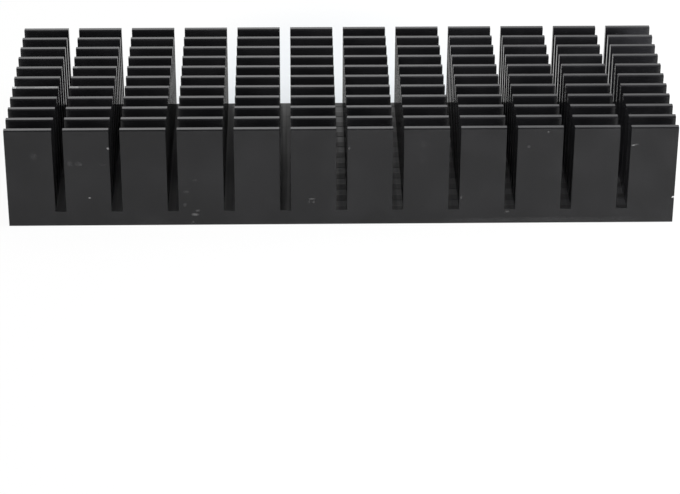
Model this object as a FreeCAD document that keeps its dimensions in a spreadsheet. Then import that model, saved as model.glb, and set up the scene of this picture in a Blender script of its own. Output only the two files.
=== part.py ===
# A finned heat sink: one length of aluminium extrusion whose fins are sawn across into rows of pins.
# X runs along the fins, Y across them and Z up. The origin is the middle of the underside.

import FreeCAD
import Part
import Sketcher
import os

# Driving sizes in millimetres, and two counts
SIZES = (
    ("length", 150.0, "bar, along the fins"),
    ("width", 55.0, "bar, across the fins"),
    ("height", 24.0, "underside to fin tips"),
    ("base_thickness", 3.53, "underside to the floor between two fins"),
    ("fin_count", 11, "fins, the outer two flush with the sides of the base"),
    ("fin_thickness", 1.5, "one fin"),
    ("root_radius", 0.8, "hollow corner where a fin meets the base"),
    ("tip_bevel", 0.25, "broken long edges of the fin tips"),
    ("corner_radius", 0.15, "long lower corners of the bar"),
    ("saw_count", 11, "slots sawn across all fins"),
    ("saw_width", 2.5, "one sawn slot"),
    ("saw_clearance", 0.07, "fin stub that the saw leaves standing on the base"),
    ("end_pin_length", 10.55, "end of the bar to the nearest slot"),
    ("nick_height", 6.4, "underside to the middle of the nick in a front edge"),
    ("nick_size", 0.5, "nick, along the edge and along both faces beside it"),
)

# Sizes that follow from the driving ones
FIN_PITCH = "(Sizes.width - Sizes.fin_thickness) / (Sizes.fin_count - 1)"
CHANNEL_WIDTH = FIN_PITCH + " - Sizes.fin_thickness"
CHANNEL_COUNT = "Sizes.fin_count - 1"
SAW_FLOOR = "Sizes.base_thickness + Sizes.saw_clearance"
SAW_SPAN = "(Sizes.length - 2 * Sizes.end_pin_length - Sizes.saw_width)"
SAW_PITCH = SAW_SPAN + " / (Sizes.saw_count - 1)"

# The sketcher's numbers for the ends of a line, and for a sketch's own level axis and origin
START = 1
END = 2
LEVEL_AXIS = -1
ORIGIN = (LEVEL_AXIS, START)

# Sides of a rectangle drawn by rectangle()
BOTTOM, RIGHT, TOP, LEFT = range(4)

# The property that holds the size of each way to dress an edge
DRESSING_SIZE = {"Fillet": "Radius", "Chamfer": "Size"}

# How closely an edge has to lie at a height to count as being there
NEAR = 1e-4


def make_sheet(doc):
    """The driving sizes, one to a row, with a note beside each."""
    sheet = doc.addObject("Spreadsheet::Sheet", "Sizes")
    for row, (name, value, note) in enumerate(SIZES, 1):
        sheet.set(f"A{row}", name)
        sheet.set(f"B{row}", str(value))
        sheet.set(f"C{row}", note)
        sheet.setAlias(f"B{row}", name)
    doc.recompute()
    return sheet


def new_sketch(body, name, plane):
    """A sketch on one of the body's origin planes."""
    sketch = body.newObject("Sketcher::SketchObject", name)
    planes = [part for part in body.Origin.OriginFeatures if part.Role == plane]
    sketch.AttachmentSupport = [(planes[0], "")]
    sketch.MapMode = "FlatFace"
    return sketch


def rectangle(sketch, left, bottom, right, top):
    """Four closed lines in the order BOTTOM, RIGHT, TOP, LEFT."""
    corners = [
        FreeCAD.Vector(left, bottom, 0),
        FreeCAD.Vector(right, bottom, 0),
        FreeCAD.Vector(right, top, 0),
        FreeCAD.Vector(left, top, 0),
    ]
    for start, end in zip(corners, corners[1:] + corners[:1]):
        sketch.addGeometry(Part.LineSegment(start, end), False)
    for side in (BOTTOM, RIGHT, TOP, LEFT):
        following = (side + 1) % len(corners)
        sketch.addConstraint(Sketcher.Constraint("Coincident", side, END, following, START))
    for side in (BOTTOM, TOP):
        sketch.addConstraint(Sketcher.Constraint("Horizontal", side))
    for side in (RIGHT, LEFT):
        sketch.addConstraint(Sketcher.Constraint("Vertical", side))


def dimension(sketch, name, kind, points, expression):
    """A named distance between two points, each a line and one of its ends, tied to the sheet."""
    drawn = sketch.getPoint(*points[1]) - sketch.getPoint(*points[0])
    distance = drawn.x if kind == "DistanceX" else drawn.y
    number = sketch.addConstraint(Sketcher.Constraint(kind, *points[0], *points[1], distance))
    sketch.renameConstraint(number, name)
    sketch.setExpression("Constraints." + name, expression)


def cut_through(body, name, sketch):
    """A pocket both ways from the sketch, right through the bar."""
    pocket = body.newObject("PartDesign::Pocket", name)
    pocket.Profile = sketch
    pocket.Type = "ThroughAll"
    pocket.SideType = "Symmetric"
    body.Tip = pocket
    return pocket


def repeat(body, name, feature, axis, pitch, count):
    """A row of copies of one feature along an origin axis."""
    axes = [part for part in body.Origin.OriginFeatures if part.Role == axis]
    pattern = body.newObject("PartDesign::LinearPattern", name)
    pattern.Originals = [feature]
    pattern.Direction = (axes[0], [""])
    pattern.Mode = "Spacing"
    pattern.setExpression("Offset", pitch)
    pattern.setExpression("Occurrences", count)
    body.Tip = pattern


def dress_long_edges(body, kind, name, height, expression):
    """A fillet or chamfer on every edge along the bar that lies at one height above the underside."""
    body.Document.recompute()
    base = body.Tip
    names = []
    for number, edge in enumerate(base.Shape.Edges, 1):
        box = edge.BoundBox
        level = abs(box.ZMin - height) < NEAR and abs(box.ZMax - height) < NEAR
        if level and box.XLength > box.YLength:
            names.append(f"Edge{number}")
    dressing = body.newObject("PartDesign::" + kind, name)
    dressing.Base = (base, names)
    dressing.setExpression(DRESSING_SIZE[kind], expression)
    body.Tip = dressing


def extrude_bar(body, sheet):
    """The solid bar, before its channels."""
    half = sheet.width / 2
    sketch = new_sketch(body, "bar_section", "YZ_Plane")
    rectangle(sketch, -half, 0, half, sheet.height)
    sketch.addConstraint(Sketcher.Constraint("PointOnObject", BOTTOM, START, LEVEL_AXIS))
    dimension(sketch, "half_width", "DistanceX", (ORIGIN, (BOTTOM, END)), "Sizes.width / 2")
    dimension(sketch, "width", "DistanceX", ((BOTTOM, START), (BOTTOM, END)), "Sizes.width")
    dimension(sketch, "height", "DistanceY", ((RIGHT, START), (RIGHT, END)), "Sizes.height")
    pad = body.newObject("PartDesign::Pad", "bar")
    pad.Profile = sketch
    pad.SideType = "Symmetric"
    pad.setExpression("Length", "Sizes.length")
    body.Tip = pad


def open_channels(body, sheet):
    """The channels that leave the fins standing, cut from one side to the other."""
    fin_edge = sheet.width / 2 - sheet.fin_thickness
    sketch = new_sketch(body, "channel_section", "YZ_Plane")
    rectangle(sketch, -fin_edge, sheet.base_thickness, -fin_edge + sheet.fin_thickness, sheet.height)
    outer_fin = "Sizes.width / 2 - Sizes.fin_thickness"
    dimension(sketch, "outer_fin", "DistanceX", ((BOTTOM, START), ORIGIN), outer_fin)
    dimension(sketch, "floor", "DistanceY", (ORIGIN, (BOTTOM, START)), "Sizes.base_thickness")
    dimension(sketch, "top", "DistanceY", (ORIGIN, (TOP, END)), "Sizes.height")
    dimension(sketch, "span", "DistanceX", ((BOTTOM, START), (BOTTOM, END)), CHANNEL_WIDTH)
    channel = cut_through(body, "channel", sketch)
    repeat(body, "channels", channel, "Y_Axis", FIN_PITCH, CHANNEL_COUNT)


def saw_slots(body, sheet):
    """The slots that a gang saw cuts across all fins, just clear of the base."""
    first = sheet.length / 2 - sheet.end_pin_length
    floor = sheet.base_thickness + sheet.saw_clearance
    sketch = new_sketch(body, "slot_section", "XZ_Plane")
    rectangle(sketch, -first, floor, -first + sheet.saw_width, sheet.height)
    end_pin = "Sizes.length / 2 - Sizes.end_pin_length"
    dimension(sketch, "end_pin", "DistanceX", ((BOTTOM, START), ORIGIN), end_pin)
    dimension(sketch, "floor", "DistanceY", (ORIGIN, (BOTTOM, START)), SAW_FLOOR)
    dimension(sketch, "top", "DistanceY", (ORIGIN, (TOP, END)), "Sizes.height")
    dimension(sketch, "span", "DistanceX", ((BOTTOM, START), (BOTTOM, END)), "Sizes.saw_width")
    slot = cut_through(body, "slot", sketch)
    repeat(body, "slots", slot, "X_Axis", SAW_PITCH, "Sizes.saw_count")


def nick_front_edge(body, sheet):
    """A small knock in the upright edge at the front right, which takes off its corner."""
    right = sheet.length / 2
    front = -sheet.width / 2
    sketch = new_sketch(body, "nick_section", "XY_Plane")
    sketch.setExpression("AttachmentOffset.Base.z", "Sizes.nick_height")
    corner = FreeCAD.Vector(right, front, 0)
    on_front = FreeCAD.Vector(right - sheet.nick_size, front, 0)
    on_end = FreeCAD.Vector(right, front + sheet.nick_size, 0)
    sketch.addGeometry(Part.LineSegment(corner, on_end), False)
    sketch.addGeometry(Part.LineSegment(on_end, on_front), False)
    sketch.addGeometry(Part.LineSegment(on_front, corner), False)
    for side in range(3):
        sketch.addConstraint(Sketcher.Constraint("Coincident", side, END, (side + 1) % 3, START))
    sketch.addConstraint(Sketcher.Constraint("Vertical", 0))
    sketch.addConstraint(Sketcher.Constraint("Horizontal", 2))
    dimension(sketch, "end_face", "DistanceX", (ORIGIN, (0, START)), "Sizes.length / 2")
    dimension(sketch, "front_face", "DistanceY", ((0, START), ORIGIN), "Sizes.width / 2")
    dimension(sketch, "end_leg", "DistanceY", ((0, START), (0, END)), "Sizes.nick_size")
    dimension(sketch, "front_leg", "DistanceX", ((2, START), (2, END)), "Sizes.nick_size")
    nick = body.newObject("PartDesign::Pocket", "nick")
    nick.Profile = sketch
    nick.SideType = "Symmetric"
    nick.setExpression("Length", "Sizes.nick_size")
    body.Tip = nick


def make_heat_sink(doc, sheet):
    """The extrusion first, with its dressed long edges, and then what is done to the cut length."""
    body = doc.addObject("PartDesign::Body", "heat_sink")
    body.Label = "heat_sink"
    extrude_bar(body, sheet)
    open_channels(body, sheet)
    dress_long_edges(body, "Fillet", "fin_roots", sheet.base_thickness, "Sizes.root_radius")
    dress_long_edges(body, "Chamfer", "fin_tips", sheet.height, "Sizes.tip_bevel")
    dress_long_edges(body, "Fillet", "lower_corners", 0, "Sizes.corner_radius")
    saw_slots(body, sheet)
    nick_front_edge(body, sheet)
    doc.recompute()
    return body


def check_document(doc):
    """Stops if any object of the document has failed."""
    for item in doc.Objects:
        if "Invalid" in item.State or "Error" in item.State:
            raise RuntimeError(f"{item.Name} is {item.State}")


def check_body(body):
    """Stops unless the body is one valid solid and each cut has taken something away."""
    shape = body.Shape
    if shape.isNull() or not shape.isValid() or len(shape.Solids) != 1:
        raise RuntimeError(f"{body.Label} is not one valid solid")
    cuts = ("PartDesign::Pocket", "PartDesign::LinearPattern")
    for cut in body.Group:
        if cut.TypeId in cuts and cut.Shape.Volume >= cut.BaseFeature.Shape.Volume:
            raise RuntimeError(f"{cut.Name} cuts nothing")


def export(body):
    os.makedirs("parts", exist_ok=True)
    body.Shape.exportStep(f"parts/{body.Label}.step")


doc = FreeCAD.newDocument("heat_sink")
sizes = make_sheet(doc)
heat_sink = make_heat_sink(doc, sizes)
check_document(doc)
check_body(heat_sink)
export(heat_sink)
box = heat_sink.Shape.BoundBox
print(f"{heat_sink.Label}: {box.XLength:.2f} x {box.YLength:.2f} x {box.ZLength:.2f} mm,"
      f" {heat_sink.Shape.Volume / 1000:.2f} cm3, {len(heat_sink.Shape.Faces)} faces")
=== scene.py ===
# A black anodised heat sink bar lying on a white table, seen from the front and a little above.
# Everything is in metres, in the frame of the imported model: X along the fins, Y to the back, Z up.

import math

import bpy
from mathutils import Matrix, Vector


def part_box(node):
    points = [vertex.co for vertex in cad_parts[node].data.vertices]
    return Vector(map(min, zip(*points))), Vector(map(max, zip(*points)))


MM = 0.001

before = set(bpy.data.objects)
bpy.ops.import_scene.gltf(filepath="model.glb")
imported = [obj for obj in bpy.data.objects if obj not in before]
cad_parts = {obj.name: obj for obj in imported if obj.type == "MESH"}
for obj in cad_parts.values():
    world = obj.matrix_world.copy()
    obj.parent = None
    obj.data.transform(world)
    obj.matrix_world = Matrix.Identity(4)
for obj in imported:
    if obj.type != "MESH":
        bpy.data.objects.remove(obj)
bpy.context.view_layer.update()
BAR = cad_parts["heat_sink"]
LOW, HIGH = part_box("heat_sink")


def grey(level, blue=0.0):
    """A colour of one grey level, a little bluer where asked."""
    return (level, level, level * (1 + blue), 1.0)


# Sizes of the sawn bar that its finish follows
FIN_COUNT = 11
FIN_THICKNESS = 1.5 * MM
FIN_PITCH = (HIGH.y - LOW.y - FIN_THICKNESS) / (FIN_COUNT - 1)
SLOT_COUNT = 11
SLOT_WIDTH = 2.5 * MM
END_PIN_LENGTH = 10.55 * MM
SLOT_PITCH = (HIGH.x - LOW.x - 2 * END_PIN_LENGTH - SLOT_WIDTH) / (SLOT_COUNT - 1)
SLOT_FLOOR = 3.6 * MM
NICK_HEIGHT = 6.4 * MM
NICK_REACH = 0.5 * MM
# From here to the right the saw ran a touch shallower, and its slots show the stubs of the fins
SHALLOW_FROM = -6 * MM

# A place this close to a face belongs to it
SKIN = 0.1 * MM
# How far a face has to look along the bar to start to count as a sawn end, and to count in full
END_FACING = (0.6, 0.8)
# How far a face has to look up to count as a slot floor or as a fin tip
FLOOR_FACING = 0.5
TIP_FACING = 0.9

# Colours of the bar, and plain white
EXTRUDED_BLACK = grey(0.006, 0.12)
SAWN_BLACK = grey(0.009, 0.08)
CLOUDED_BLACK = grey(0.010, 0.10)
DUST_WHITE = grey(0.9)
BARE_METAL = grey(0.6)
PLAIN_WHITE = grey(1.0)

# Grain with a direction: bumps per metre along X, Y and Z, and detail
FINE_LINES = ((30, 3000, 3000), 1.0)
COARSE_LINES = ((8, 700, 700), 2.0)
SAW_MARKS = ((2600, 250, 900), 3.0)
FLOOR_STREAKS = ((1300, 20, 0), 2.0)
# Grain without one: bumps per metre, and detail
CLOUDS = (120.0, 3.0)
RAGGED_EDGES = (5000.0, 1.0)
WORN_PATCHES = (900.0, 2.0)
# The strength at which the clouds start to grey the black, and at which they do so in full
CLOUDS_SHOW = (0.35, 0.75)

# How deep the grain goes, the share of the fine lines in it, and how strong the saw marks are
GRAIN_DEPTH = 0.006 * MM
FINE_SHARE = 0.6
SAW_MARKS_ON_ENDS = 0.10
SAW_MARKS_ON_FLOORS = 1.2

# How rough the faces are, and how much of that changes with each grain
EXTRUDED_ROUGHNESS = 0.22
END_ROUGHNESS = 0.14
FLOOR_ROUGHNESS = 0.48
CLOUD_CHANGE = 0.10
LINE_CHANGE = 0.06
SAW_MARK_CHANGE = 0.10
STREAK_CHANGE = 0.45
# How much rougher the slot floors are: in the deep slots to the front, in the shallow slots on the
# stubs of the fins, and in all of them outward from the middle, there more so behind the front fins
ROUGHER_IN_FRONT = 0.07
ROUGHER_ON_STUBS = 0.05
SMOOTHER_IF_SHALLOW = 0.03
ROUGHER_OUTWARD = 0.05
ROUGHER_OUTWARD_BEHIND = 0.20
# Where each of these changes starts and where it is full
IN_FRONT = (5 * MM, -8 * MM)
ON_STUBS = (0.9 * FIN_THICKNESS, 0.5 * FIN_THICKNESS)
OUTWARD = (8 * MM, 50 * MM)
BEHIND = (-20 * MM, -6 * MM)

# Dust and smears on the front face, and one faint lighter strip along its bottom edge: place along
# the bar, height, half width and half height in millimetres, and whiteness
MARKS = (
    (-68.6, 17.6, 0.90, 1.00, 0.010),
    (-60.7, 15.8, 0.60, 0.75, 0.016),
    (-58.8, 15.7, 0.95, 0.65, 0.010),
    (-58.3, 15.5, 0.45, 0.30, 0.028),
    (-53.4, 15.5, 1.20, 0.25, 0.008),
    (-56.6, 7.1, 0.32, 0.20, 0.180),
    (-52.0, 19.5, 0.34, 0.28, 0.220),
    (-35.3, 5.2, 0.40, 0.50, 0.025),
    (-34.9, 8.5, 0.70, 0.35, 0.020),
    (-33.5, 0.8, 0.35, 0.20, 0.040),
    (-33.0, 2.7, 0.85, 0.36, 0.090),
    (-32.9, 11.4, 0.60, 0.30, 0.012),
    (-32.4, 3.7, 0.55, 0.28, 0.050),
    (-7.3, 5.8, 0.24, 0.30, 0.035),
    (-6.7, 6.5, 0.85, 0.22, 0.055),
    (-6.3, 5.7, 0.24, 0.32, 0.045),
    (1.6, 19.2, 0.20, 0.35, 0.060),
    (17.9, 16.0, 0.60, 0.70, 0.006),
    (18.2, 20.0, 0.80, 0.90, 0.006),
    (26.9, 6.6, 0.20, 0.40, 0.050),
    (37.4, 3.0, 0.45, 0.28, 0.045),
    (41.7, 19.4, 0.35, 0.35, 0.030),
    # This one lightens a long low strip along the bottom edge of the front face, in its right half
    (45.0, 0.8, 26.0, 0.80, 0.010),
    (45.9, 23.0, 0.25, 0.25, 0.060),
    (65.0, 19.6, 0.45, 0.20, 0.140),
    (65.7, 19.8, 0.45, 0.18, 0.050),
)
# The soft edge of a mark, in half widths from its middle: where it starts and where it is full
MARK_EDGE = (1.25, 0.3)

# Stray grains of dust: cells per metre that may hold one, the share of the cells that does, the soft
# edge of a grain as parts of a cell, and whiteness
STRAY_CELLS = 110.0
STRAY_SHARE = 0.25
STRAY_EDGE = (0.011, 0.006)
STRAY_WHITENESS = 0.15

# The nick: how far from the corner edge and up and down its metal shows, and how bare it is
NICK_SPREAD = 1.1 * NICK_REACH
NICK_HALF_HEIGHT = 0.5 * NICK_REACH
NICK_BARENESS = 0.6

# Rubbed fin tips: from and to along the bar in millimetres, fin counted from the middle one, strength
RUBBED_TIPS = (
    (-74.9, -74.1, -1, 0.45),
    (-74.4, -69.9, -1, 0.08),
    (-69.9, -64.7, -1, 0.14),
    (-62.0, -59.9, -1, 0.14),
    (-62.0, -60.7, 1, 0.08),
)
TIP_DEPTH = 0.2 * MM
RUBBED_EDGE = 0.1 * MM
# The least and the most that the patches of wear change that strength
WEAR_RANGE = (0.4, 1.6)

# The table: size, how far under the bar, and its own white
TABLE_SIZE = 6.0
TABLE_DROP = 0.02 * MM
TABLE_WHITE = grey(0.60)
# How much of it is plain white to the camera, how much is plain in reflections, and which grey there
PLAIN_TO_CAMERA = 0.95
PLAIN_IN_GLOSS = 0.85
WHITE_IN_GLOSS = grey(0.56)
# The painted shade close behind the bar, a cool grey painted into the table's white where the camera
# sees it, where
# more of its real shadow shows too: half width, depth, soft edge, how far it starts before the back
# of the bar, painted colour, and how much less of the table is plain white in it
SHADE_HALF_WIDTH = 45 * MM
SHADE_DEPTH = 60 * MM
SHADE_EDGE = (1.25, 0.55)
SHADE_START = 15 * MM
PAINTED_SHADE_COLOUR = (0.80, 0.84, 0.875, 1.0)
SHADE_LESS_PLAIN = 0.25

# The room: where it starts to darken and where it is dark, as the sine of the angle above the
# horizon, and how dark
ROOM_DARKENS = (0.58, 0.80)
ROOM_OVERHEAD = grey(0.10)

# Lamps: name, place, the point that it shines at, size, watts, and whether gloss reflects it
LAMPS = (
    ("soft_lamp", (-0.4, -0.5, 1.2), (0, 0, 0), 1.0, 4.0, False),
    ("back_lamp", (-0.26, 1.2, 0.66), (0, 0, 0), 0.8, 1.3, True),
    ("side_lamp", (0.5, -0.04, 0.18), (0, 0, 0), 0.3, 13.0, False),
    ("end_lamp", (0.102, 0.006, 0.026), (0.07, 0.025, 0.023), 0.008, 0.070, False),
)

# The camera: place, turns in degrees about X, Y and Z, and sensor and lens in millimetres
CAMERA_PLACE = (-10.85 * MM, -537.9 * MM, 280.05 * MM)
CAMERA_TURNS = (60.742, -0.177, -1.080)
CAMERA_SENSOR = 36.0
CAMERA_LENS = 136.23
CAMERA_NEAR = 0.01
CAMERA_FAR = 20.0


class Value:
    """A number that varies over a surface, with arithmetic that adds its Math nodes."""

    def __init__(self, nodes, socket):
        self.nodes = nodes
        self.socket = socket

    def __add__(self, other):
        return self.nodes.math("ADD", self, other)

    def __sub__(self, other):
        return self.nodes.math("SUBTRACT", self, other)

    def __rsub__(self, other):
        return self.nodes.math("SUBTRACT", other, self)

    def __mul__(self, other):
        return self.nodes.math("MULTIPLY", self, other)

    def __truediv__(self, other):
        return self.nodes.math("DIVIDE", self, other)

    def __gt__(self, other):
        return self.nodes.math("GREATER_THAN", self, other)

    def __lt__(self, other):
        return self.nodes.math("LESS_THAN", self, other)

    def __abs__(self):
        return self.nodes.math("ABSOLUTE", self)

    __radd__ = __add__


class Nodes:
    """The node tree of one finish or of the room."""

    def __init__(self, tree):
        self.tree = tree
        tree.nodes.clear()

    def add(self, kind, inputs=None, output=0, **settings):
        """One node: its settings first, then the values or links of its sockets."""
        node = self.tree.nodes.new("ShaderNode" + kind)
        for name, setting in settings.items():
            setattr(node, name, setting)
        for name, value in (inputs or {}).items():
            if isinstance(value, Value):
                self.tree.links.new(value.socket, node.inputs[name])
            else:
                node.inputs[name].default_value = value
        return Value(self, node.outputs[output]) if node.outputs else None

    def math(self, operation, *values):
        return self.add("Math", dict(enumerate(values)), operation=operation)

    def larger(self, first, second):
        return self.math("MAXIMUM", first, second)

    def distance(self, across, up):
        """How far a place is from a point, from its two distances to that point."""
        return self.math("SQRT", across * across + up * up)

    def gap_to_nearest(self, value, pitch):
        """How far a place is from the nearest whole multiple of a pitch."""
        return self.math("PINGPONG", value, pitch / 2)

    def ramp(self, value, start, end):
        """Nought at the start, one at the end and a smooth rise between."""
        limits = {"Value": value, "From Min": start, "From Max": end}
        return self.add("MapRange", limits, interpolation_type="SMOOTHSTEP")

    def blend(self, factor, first, second):
        """A blend of two numbers, the first where the factor is nought."""
        return factor * second + (1 - factor) * first

    def colour(self, factor, first, second):
        """A blend of two colours, by the sockets that the Mix node has for colours."""
        sockets = {0: factor, 6: first, 7: second}
        return self.add("Mix", sockets, output=2, data_type="RGBA")

    def direction(self, factor, first, second):
        """A blend of two directions, by the sockets that the Mix node has for vectors."""
        sockets = {0: factor, 4: first, 5: second}
        return self.add("Mix", sockets, output=1, data_type="VECTOR")

    def vector(self, x, y, z):
        return self.add("CombineXYZ", {"X": x, "Y": y, "Z": z})

    def parts(self, vector):
        """The three parts of a vector."""
        split = self.add("SeparateXYZ", {"Vector": vector}).socket.node
        return [Value(self, split.outputs[name]) for name in "XYZ"]

    def noise(self, place, scale, detail):
        """Noise from nought to one, with the same number of bumps per metre every way."""
        return self.add("TexNoise", {"Vector": place, "Scale": scale, "Detail": detail})

    def grain(self, parts, per_metre, detail):
        """Noise from nought to one, with its own number of bumps per metre along X, Y and Z."""
        stretched = [part * bumps for part, bumps in zip(parts, per_metre)]
        return self.noise(self.vector(*stretched), 1.0, detail)


def around_nought(noise):
    """A noise as a change down and up, half each way."""
    return noise - 0.5


def new_finish(name):
    """An empty material and its nodes."""
    material = bpy.data.materials.new(name)
    material.use_nodes = True
    return material, Nodes(material.node_tree)


def slot_floors(nodes, x, z, upward):
    """The floors of the sawn slots."""
    in_slot = nodes.gap_to_nearest(x, SLOT_PITCH) < SLOT_WIDTH / 2
    between_ends = abs(x) < HIGH.x - END_PIN_LENGTH
    low_down = z < SLOT_FLOOR + SKIN
    return in_slot * between_ends * low_down * (upward > FLOOR_FACING)


def front_marks(nodes, place, x, y, z):
    """How white the dust, the smears and the lighter strip along the bottom edge of the front face
    make a place.
    """
    on_front = y < LOW.y + SKIN
    ragged = around_nought(nodes.noise(place, *RAGGED_EDGES))
    marks = 0.0
    for along, up, half_width, half_height, whiteness in MARKS:
        across_mark = (x - along * MM) / (half_width * MM)
        up_mark = (z - up * MM) / (half_height * MM)
        away = nodes.distance(across_mark, up_mark) + ragged
        marks = nodes.larger(marks, nodes.ramp(away, *MARK_EDGE) * whiteness)
    return marks * on_front


def stray_dust(nodes, place):
    """How white the few stray grains, which may lie anywhere, make a place."""
    cells = {"Vector": place, "Scale": STRAY_CELLS}
    away = nodes.add("TexVoronoi", cells)
    chance, _, _ = nodes.parts(nodes.add("TexVoronoi", cells, output="Color"))
    return nodes.ramp(away, *STRAY_EDGE) * (chance > 1 - STRAY_SHARE) * STRAY_WHITENESS


def bare_nick(nodes, x, y, z):
    """Where the nick in the upright edge at the front right shows its metal."""
    to_edge = nodes.larger(abs(x - HIGH.x), abs(y - LOW.y))
    at_height = abs(z - NICK_HEIGHT) < NICK_HALF_HEIGHT
    return (to_edge < NICK_SPREAD) * at_height * NICK_BARENESS


def rubbed_tips(nodes, place, x, y, z, upward):
    """Where the black is thinly rubbed off the fin tips."""
    on_tip = z > HIGH.z - TIP_DEPTH
    patchy = nodes.blend(nodes.noise(place, *WORN_PATCHES), *WEAR_RANGE)
    rubbed = 0.0
    for start, end, fin, strength in RUBBED_TIPS:
        middle = (start + end) / 2 * MM
        half = (end - start) / 2 * MM
        along = nodes.ramp(abs(x - middle), half + RUBBED_EDGE, half - RUBBED_EDGE)
        on_fin = abs(y - fin * FIN_PITCH) < FIN_THICKNESS
        rubbed = nodes.larger(rubbed, along * on_fin * strength)
    return rubbed * on_tip * (upward > TIP_FACING) * patchy


def floor_roughness(nodes, x, y, z, shallow):
    """The slot floors: streaky along the cut, and rougher in some places than in others."""
    streaks = nodes.grain((x, y, z), *FLOOR_STREAKS)
    in_front = nodes.ramp(y, *IN_FRONT)
    on_stub = nodes.ramp(nodes.gap_to_nearest(y, FIN_PITCH), *ON_STUBS)
    outward = nodes.ramp(abs(x), *OUTWARD)
    behind = nodes.ramp(y, *BEHIND)
    deep_floor = in_front * ROUGHER_IN_FRONT
    shallow_floor = on_stub * ROUGHER_ON_STUBS - SMOOTHER_IF_SHALLOW
    rougher = nodes.blend(shallow, deep_floor, shallow_floor)
    rougher = rougher + outward * (ROUGHER_OUTWARD + behind * ROUGHER_OUTWARD_BEHIND)
    return FLOOR_ROUGHNESS + rougher + around_nought(streaks) * STREAK_CHANGE


def black_anodised():
    """Satin black where the die made the face and duller on the slot floors, with dust and wear."""
    material, nodes = new_finish("black_anodised")
    place = nodes.add("TexCoord", output="Object")
    facing = nodes.add("TexCoord", output="Normal")
    x, y, z = nodes.parts(place)
    across, _, upward = nodes.parts(facing)
    ends = nodes.ramp(abs(across), *END_FACING)
    floors = slot_floors(nodes, x, z, upward)
    sawn = nodes.larger(ends, floors)
    shallow = x > SHALLOW_FROM

    # The die leaves lines along the bar, and the saw leaves marks along its cuts
    fine_lines = nodes.grain((x, y, z), *FINE_LINES)
    coarse_lines = nodes.grain((x, y, z), *COARSE_LINES)
    saw_marks = nodes.grain((x, y, z), *SAW_MARKS)
    clouds = nodes.noise(place, *CLOUDS)
    lines = (fine_lines * FINE_SHARE + coarse_lines * (1 - FINE_SHARE)) * (1 - sawn)
    height = lines + saw_marks * nodes.blend(floors, ends * SAW_MARKS_ON_ENDS, SAW_MARKS_ON_FLOORS)
    # The floors of the deep slots look flat
    flat = floors * (1 - shallow)
    straight_up = nodes.vector(0.0, 0.0, 1.0)
    bump = nodes.add("Bump", {
        "Height": height,
        "Distance": GRAIN_DEPTH,
        "Strength": 1.0,
        "Normal": nodes.direction(flat, facing, straight_up),
    })

    rough_extruded = EXTRUDED_ROUGHNESS + around_nought(clouds) * CLOUD_CHANGE
    rough_extruded = rough_extruded + around_nought(coarse_lines) * LINE_CHANGE
    rough_ends = END_ROUGHNESS + around_nought(saw_marks) * SAW_MARK_CHANGE
    rough_floors = floor_roughness(nodes, x, y, z, shallow)
    roughness = nodes.blend(floors, nodes.blend(ends, rough_extruded, rough_ends), rough_floors)

    black = nodes.colour(sawn, EXTRUDED_BLACK, SAWN_BLACK)
    black = nodes.colour(nodes.ramp(clouds, *CLOUDS_SHOW), black, CLOUDED_BLACK)
    white = nodes.larger(front_marks(nodes, place, x, y, z), stray_dust(nodes, place))
    bare = nodes.larger(bare_nick(nodes, x, y, z), rubbed_tips(nodes, place, x, y, z, upward))
    base = nodes.colour(white, black, DUST_WHITE)
    base = nodes.colour(bare, base, BARE_METAL)

    shader = nodes.add("BsdfPrincipled", {
        "Base Color": base,
        "Metallic": bare,
        "Roughness": roughness,
        "IOR": 1.5,
        "Normal": bump,
    })
    nodes.add("OutputMaterial", {"Surface": shader})
    return material


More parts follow.
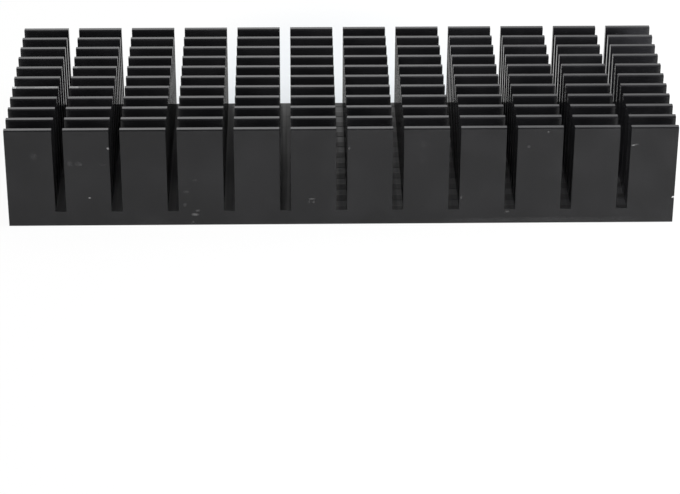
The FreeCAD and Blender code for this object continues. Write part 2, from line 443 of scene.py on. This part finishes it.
def white_table():
    """Matt white, and nearly plain white where the camera sees it, with the shadow kept.

    Close behind the bar a cool grey shade is painted into its white where the camera sees it, and its
    real shadow shows more there.
    """
    material, nodes = new_finish("white_table")
    x, y, _ = nodes.parts(nodes.add("TexCoord", output="Object"))
    away = nodes.distance(x / SHADE_HALF_WIDTH, (y - HIGH.y) / SHADE_DEPTH)
    # Where the painted shade lies: close behind the bar, fading out away from it
    painted_shade = nodes.ramp(away, *SHADE_EDGE) * nodes.ramp(y, HIGH.y - SHADE_START, HIGH.y)
    matt = nodes.add("BsdfDiffuse", {"Color": TABLE_WHITE})
    seen = nodes.add("LightPath", output="Is Camera Ray")
    in_gloss = nodes.add("LightPath", output="Is Glossy Ray")
    in_glass = nodes.add("LightPath", output="Is Transmission Ray")
    plain = seen * (PLAIN_TO_CAMERA - painted_shade * SHADE_LESS_PLAIN)
    plain = plain + (in_gloss + in_glass) * PLAIN_IN_GLOSS
    # Here the camera sees the cool painted shade in place of plain white
    white = nodes.colour(painted_shade, PLAIN_WHITE, PAINTED_SHADE_COLOUR)
    whiteness = nodes.colour(seen, WHITE_IN_GLOSS, white)
    glow = nodes.add("Emission", {"Color": whiteness, "Strength": 1.0})
    surface = nodes.add("MixShader", {0: plain, 1: matt, 2: glow})
    nodes.add("OutputMaterial", {"Surface": surface})
    return material


def lay_table():
    """The table top, a hair under the bar."""
    bpy.ops.mesh.primitive_plane_add(size=TABLE_SIZE, location=(0, 0, LOW.z - TABLE_DROP))
    table = bpy.context.object
    table.name = "table_top"
    table.data.materials.append(white_table())


def light_room():
    """A room that is white low down and dark overhead, and all white to the camera."""
    world = bpy.data.worlds.new("room")
    world.use_nodes = True
    bpy.context.scene.world = world
    nodes = Nodes(world.node_tree)
    _, _, up = nodes.parts(nodes.add("TexCoord", output="Generated"))
    seen = nodes.add("LightPath", output="Is Camera Ray")
    overhead = nodes.ramp(up, *ROOM_DARKENS) * (1 - seen)
    colour = nodes.colour(overhead, PLAIN_WHITE, ROOM_OVERHEAD)
    sky = nodes.add("Background", {"Color": colour, "Strength": 1.0})
    nodes.add("OutputWorld", {"Surface": sky})


def hang_lamp(name, place, aim, size, watts, in_gloss):
    """A square soft lamp, turned to shine at a point."""
    data = bpy.data.lights.new(name, "AREA")
    data.size = size
    data.energy = watts
    lamp = bpy.data.objects.new(name, data)
    bpy.context.scene.collection.objects.link(lamp)
    lamp.location = place
    lamp.rotation_euler = (Vector(aim) - Vector(place)).to_track_quat("-Z", "Y").to_euler()
    lamp.visible_camera = False
    lamp.visible_glossy = in_gloss


def set_camera():
    """The photograph's view: long lens, about half a metre off, looking down at the front."""
    data = bpy.data.cameras.new("camera")
    data.sensor_width = CAMERA_SENSOR
    data.lens = CAMERA_LENS
    data.clip_start = CAMERA_NEAR
    data.clip_end = CAMERA_FAR
    camera = bpy.data.objects.new("camera", data)
    bpy.context.scene.collection.objects.link(camera)
    camera.location = CAMERA_PLACE
    camera.rotation_euler = [math.radians(turn) for turn in CAMERA_TURNS]
    bpy.context.scene.camera = camera


finish = black_anodised()
for slot in BAR.material_slots:
    slot.material = finish
lay_table()
light_room()
for lamp in LAMPS:
    hang_lamp(*lamp)
set_camera()
bpy.context.scene.view_settings.view_transform = "Standard"
